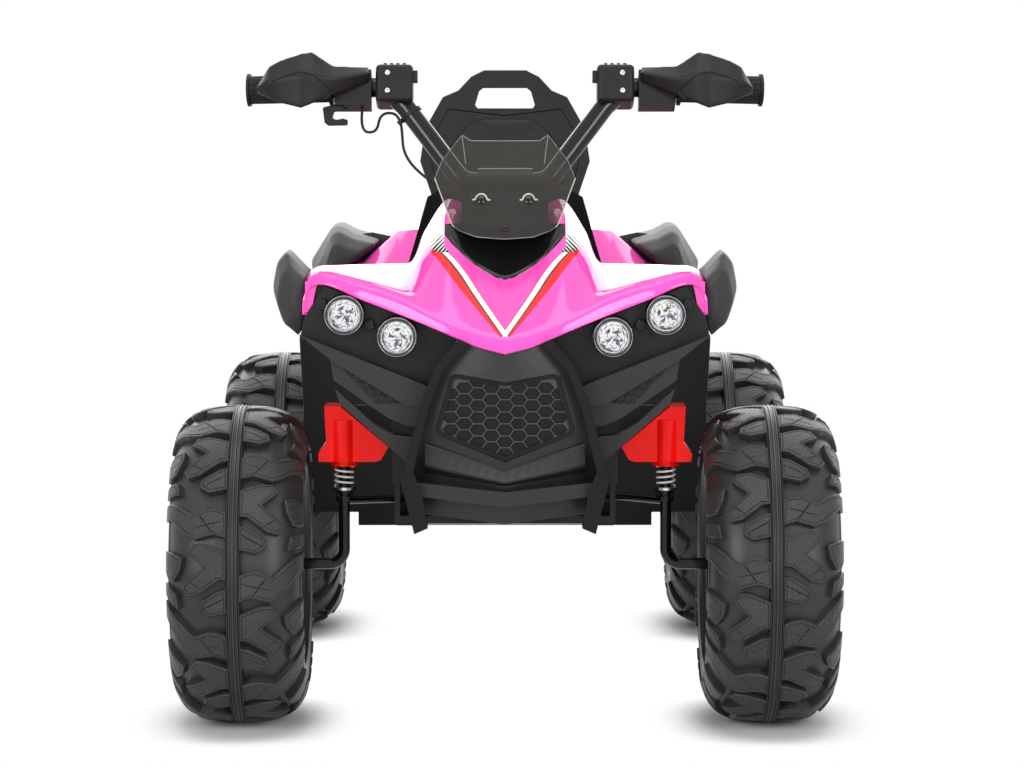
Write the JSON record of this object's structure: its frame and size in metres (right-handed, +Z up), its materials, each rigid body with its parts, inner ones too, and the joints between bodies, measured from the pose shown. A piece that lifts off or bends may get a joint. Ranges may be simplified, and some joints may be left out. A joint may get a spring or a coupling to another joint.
{
  "type": "kids quad bike",
  "caption": "Kids' ride-on quad bike with knobbly tyres, sprung steered front wheels, pink hood, round headlamps, smoked screen, hand guards, thumb throttle and padded seat.",
  "frame": {"origin": "on the floor, midway between the two axles and between the left and right wheels", "axes": "+X to the rider's left, -Y the way it drives, +Z up"},
  "size_m": [0.704, 1.02, 0.7156],
  "materials": {
    "pink_gloss": "glossy pink moulding",
    "black_satin": "satin black moulding",
    "black_gloss": "glossy black moulding",
    "grille_grey": "grey moulded mesh",
    "smoked_clear": "smoked clear acrylic",
    "lamp_clear": "clear polycarbonate",
    "lamp_chrome": "bright plated plastic",
    "tyre_black": "matte black tread",
    "rim_grey": "dark grey moulding",
    "red_gloss": "glossy red moulding",
    "spring_steel": "bright steel wire and plate",
    "axle_steel": "zinc plated bar",
    "black_paint": "black powder coat",
    "grip_rubber": "matte black rubber",
    "switch_dark": "dark moulded key",
    "seat_leather": "black grained vinyl",
    "drive_grey": "dark grey case"
  },
  "bodies": {
    "chassis": {"backrest": "black_satin", "backrest_pad": "seat_leather", "battery": "drive_grey", "bumper_bar_l": "black_satin", "bumper_bar_r": "black_satin", "chassis_tub": "black_satin", "control_box": "drive_grey", "dash_pod": "black_satin", "front_fascia": "black_satin", "front_flare_l": "black_satin", "front_flare_r": "black_satin", "front_subframe": "black_satin", "gearboxes": "drive_grey", "grille": "grille_grey", "hood": "pink_gloss", "hood_trim": "black_gloss", "lamp_lenses": "lamp_clear", "lamp_reflectors": "lamp_chrome", "lamp_rims": "lamp_chrome", "motors": "drive_grey", "rear_axle": "axle_steel", "rear_body": "pink_gloss", "rear_flare_l": "black_satin", "rear_flare_r": "black_satin", "seat": "seat_leather", "shock_bracket_l": "red_gloss", "shock_bracket_r": "red_gloss", "spring_l": "spring_steel", "spring_r": "spring_steel", "tank_cover": "black_gloss", "windscreen": "smoked_clear"},
    "steering": {"steering_column": "black_paint", "handlebar": "black_paint", "cable_tie": "black_satin", "throttle_cable": "grip_rubber", "throttle_housing": "black_satin", "guard_clamp_l": "black_satin", "grip_l": "grip_rubber", "grip_r": "grip_rubber", "hand_guard_l": "black_satin", "hand_guard_r": "black_satin", "switch_box_l": "black_satin", "switch_box_r": "black_satin"},
    "throttle": {"throttle_lever": "black_satin"},
    "button_l": {"switch_button_l": "switch_dark"},
    "carrier_l": {"spring_seat_l": "spring_steel"},
    "knuckle_l": {"kingpin_l": "black_paint"},
    "tie_l": {"tie_rod_l": "black_paint"},
    "wheel_fl": {"rim_fl": "rim_grey", "tyre_fl": "tyre_black"},
    "wheel_rl": {"rim_rl": "rim_grey", "tyre_rl": "tyre_black"},
    "button_r": {"switch_button_r": "switch_dark"},
    "carrier_r": {"spring_seat_r": "spring_steel"},
    "knuckle_r": {"kingpin_r": "black_paint"},
    "tie_r": {"tie_rod_r": "black_paint"},
    "wheel_fr": {"rim_fr": "rim_grey", "tyre_fr": "tyre_black"},
    "wheel_rr": {"rim_rr": "rim_grey", "tyre_rr": "tyre_black"}
  },
  "joints": [
    {"name": "steer", "type": "hinge", "parent": "chassis", "child": "steering", "pos_m": [0, -0.2, 0.572], "axis": [0, 0.2588, 0.9659], "range_deg": [-20, 20]},
    {"name": "throttle_push", "type": "hinge", "parent": "steering", "child": "throttle", "pos_m": [-0.176, -0.2, 0.572], "axis": [0, 0.2588, 0.9659], "range_deg": [0, 25], "stiffness_Nm_per_rad": 0.25, "springref_deg": -14.32},
    {"name": "press_l", "type": "slide", "parent": "steering", "child": "button_l", "axis": [1, 0, 0], "range_m": [0, 0.003], "stiffness_N_per_m": 300, "springref_m": -0.004},
    {"name": "suspend_l", "type": "slide", "parent": "chassis", "child": "carrier_l", "axis": [0, 0, 1], "range_m": [0, 0.008], "stiffness_N_per_m": 12000, "springref_m": -0.012, "deforming": ["spring_l"]},
    {"name": "knuckle_turn_l", "type": "hinge", "parent": "carrier_l", "child": "knuckle_l", "pos_m": [0.172, -0.34, 0.25], "axis": [0, 0, 1], "range_deg": [-20, 20]},
    {"name": "tie_turn_l", "type": "hinge", "parent": "steering", "child": "tie_l", "pos_m": [0, -0.2396, 0.25035], "axis": [0, 0.2588, 0.9659], "range_deg": [-20, 20]},
    {"name": "spin_fl", "type": "hinge", "parent": "knuckle_l", "child": "wheel_fl", "pos_m": [0.281, -0.34, 0.17], "axis": [1, 0, 0], "continuous": true},
    {"name": "spin_rl", "type": "hinge", "parent": "chassis", "child": "wheel_rl", "pos_m": [0.272, 0.34, 0.17], "axis": [1, 0, 0], "continuous": true},
    {"name": "press_r", "type": "slide", "parent": "steering", "child": "button_r", "axis": [-1, 0, 0], "range_m": [0, 0.003], "stiffness_N_per_m": 300, "springref_m": -0.004},
    {"name": "suspend_r", "type": "slide", "parent": "chassis", "child": "carrier_r", "axis": [0, 0, 1], "range_m": [0, 0.008], "stiffness_N_per_m": 12000, "springref_m": -0.012, "deforming": ["spring_r"]},
    {"name": "knuckle_turn_r", "type": "hinge", "parent": "carrier_r", "child": "knuckle_r", "pos_m": [-0.172, -0.34, 0.25], "axis": [0, 0, 1], "range_deg": [-20, 20]},
    {"name": "tie_turn_r", "type": "hinge", "parent": "steering", "child": "tie_r", "pos_m": [0, -0.2396, 0.25035], "axis": [0, 0.2588, 0.9659], "range_deg": [-20, 20]},
    {"name": "spin_fr", "type": "hinge", "parent": "knuckle_r", "child": "wheel_fr", "pos_m": [-0.281, -0.34, 0.17], "axis": [1, 0, 0], "continuous": true},
    {"name": "spin_rr", "type": "hinge", "parent": "chassis", "child": "wheel_rr", "pos_m": [-0.272, 0.34, 0.17], "axis": [1, 0, 0], "continuous": true}
  ],
  "couplings": [
    {"joint": "knuckle_turn_l", "follows": "steer", "ratio": 1},
    {"joint": "tie_turn_l", "follows": "steer", "ratio": -1},
    {"joint": "knuckle_turn_r", "follows": "steer", "ratio": 1},
    {"joint": "tie_turn_r", "follows": "steer", "ratio": -1}
  ]
}
